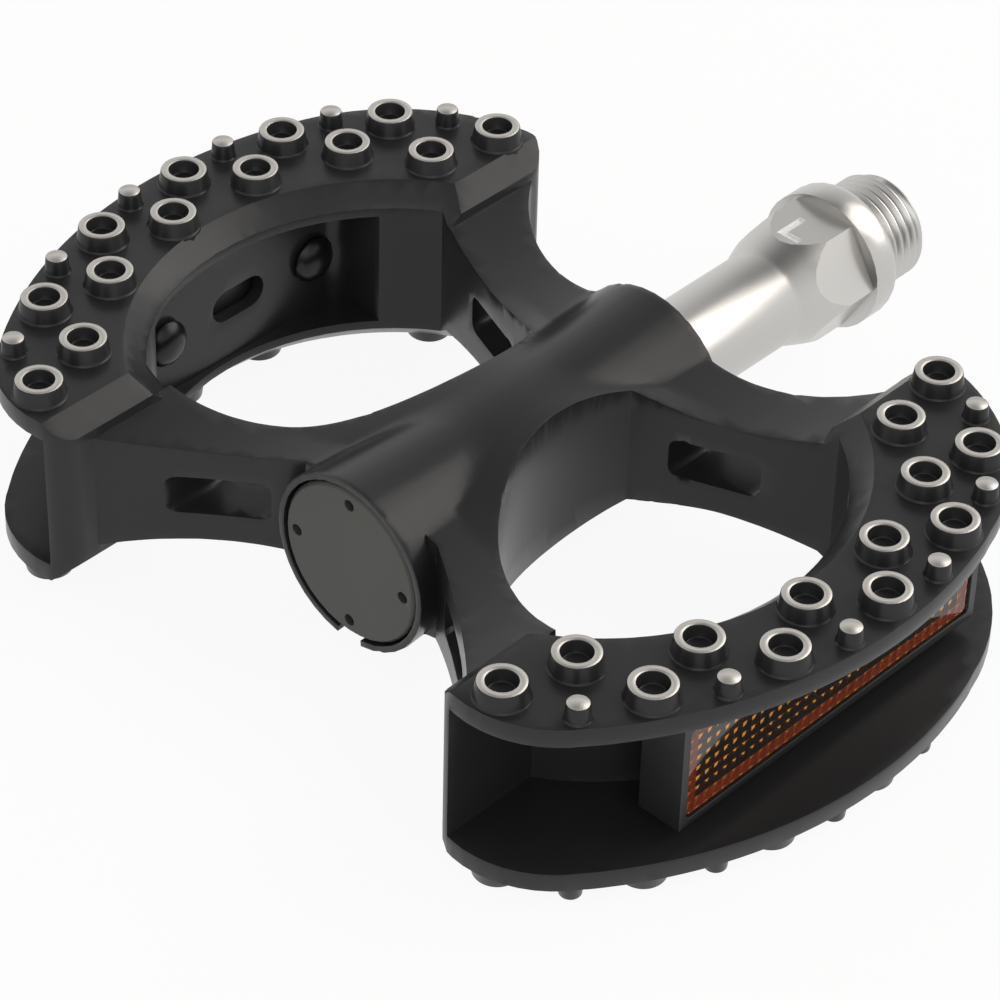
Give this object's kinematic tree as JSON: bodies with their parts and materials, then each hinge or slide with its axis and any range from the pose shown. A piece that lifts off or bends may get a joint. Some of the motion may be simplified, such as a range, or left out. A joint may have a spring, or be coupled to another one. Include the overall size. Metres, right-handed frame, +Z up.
{
  "type": "flat bicycle pedal",
  "caption": "Flat bicycle pedal: studded X-shaped casting with two arched platforms, amber reflectors and a turning barrel on a threaded spindle.",
  "frame": {"origin": "centre of the spindle's crank-side end face, on the spindle axis", "axes": "+X along the spindle, out of the pedal towards the crank arm; +Y from the front platform to the rear one; +Z up, across the two treads"},
  "size_m": [0.1126, 0.1188, 0.0276],
  "materials": {
    "body": "black semi-gloss coating with bare stud tops",
    "cap": "matte grey anodised",
    "spindle": "satin chromed steel",
    "bearing_steel": "ground",
    "seal": "matte",
    "housing": "moulded black",
    "lens": "prismatic amber",
    "screw": "blackened"
  },
  "bodies": {
    "spindle": {"spindle": "spindle", "outer_cone": "bearing_steel", "key_washer": "bearing_steel", "lock_nut": "bearing_steel"},
    "pedal": {"body_casting": "body", "dust_cap": "cap", "dust_seal": "seal", "inner_cup": "bearing_steel", "outer_cup": "bearing_steel", "reflector_housing_front": "housing", "reflector_housing_rear": "housing", "reflector_lens_front": "lens", "reflector_lens_rear": "lens", "reflector_screw_front_cap_side": "screw", "reflector_screw_front_crank_side": "screw", "reflector_screw_rear_cap_side": "screw", "reflector_screw_rear_crank_side": "screw"},
    "inner_balls": {"inner_ball_01": "bearing_steel", "inner_ball_02": "bearing_steel", "inner_ball_03": "bearing_steel", "inner_ball_04": "bearing_steel", "inner_ball_05": "bearing_steel", "inner_ball_06": "bearing_steel", "inner_ball_07": "bearing_steel", "inner_ball_08": "bearing_steel", "inner_ball_09": "bearing_steel", "inner_ball_10": "bearing_steel", "inner_ball_11": "bearing_steel"},
    "outer_balls": {"outer_ball_01": "bearing_steel", "outer_ball_02": "bearing_steel", "outer_ball_03": "bearing_steel", "outer_ball_04": "bearing_steel", "outer_ball_05": "bearing_steel", "outer_ball_06": "bearing_steel", "outer_ball_07": "bearing_steel", "outer_ball_08": "bearing_steel", "outer_ball_09": "bearing_steel", "outer_ball_10": "bearing_steel"}
  },
  "joints": [
    {"name": "pedal_spin", "type": "hinge", "parent": "spindle", "child": "pedal", "pos_m": [-0.0696, 0, 0], "axis": [1, 0, 0], "continuous": true},
    {"name": "inner_balls_orbit", "type": "hinge", "parent": "spindle", "child": "inner_balls", "pos_m": [-0.0516, 0, 0], "axis": [1, 0, 0], "continuous": true},
    {"name": "outer_balls_orbit", "type": "hinge", "parent": "spindle", "child": "outer_balls", "pos_m": [-0.0841, 0, 0], "axis": [1, 0, 0], "continuous": true}
  ],
  "couplings": [
    {"joint": "inner_balls_orbit", "follows": "pedal_spin", "ratio": 0.5855},
    {"joint": "outer_balls_orbit", "follows": "pedal_spin", "ratio": 0.5941}
  ]
}
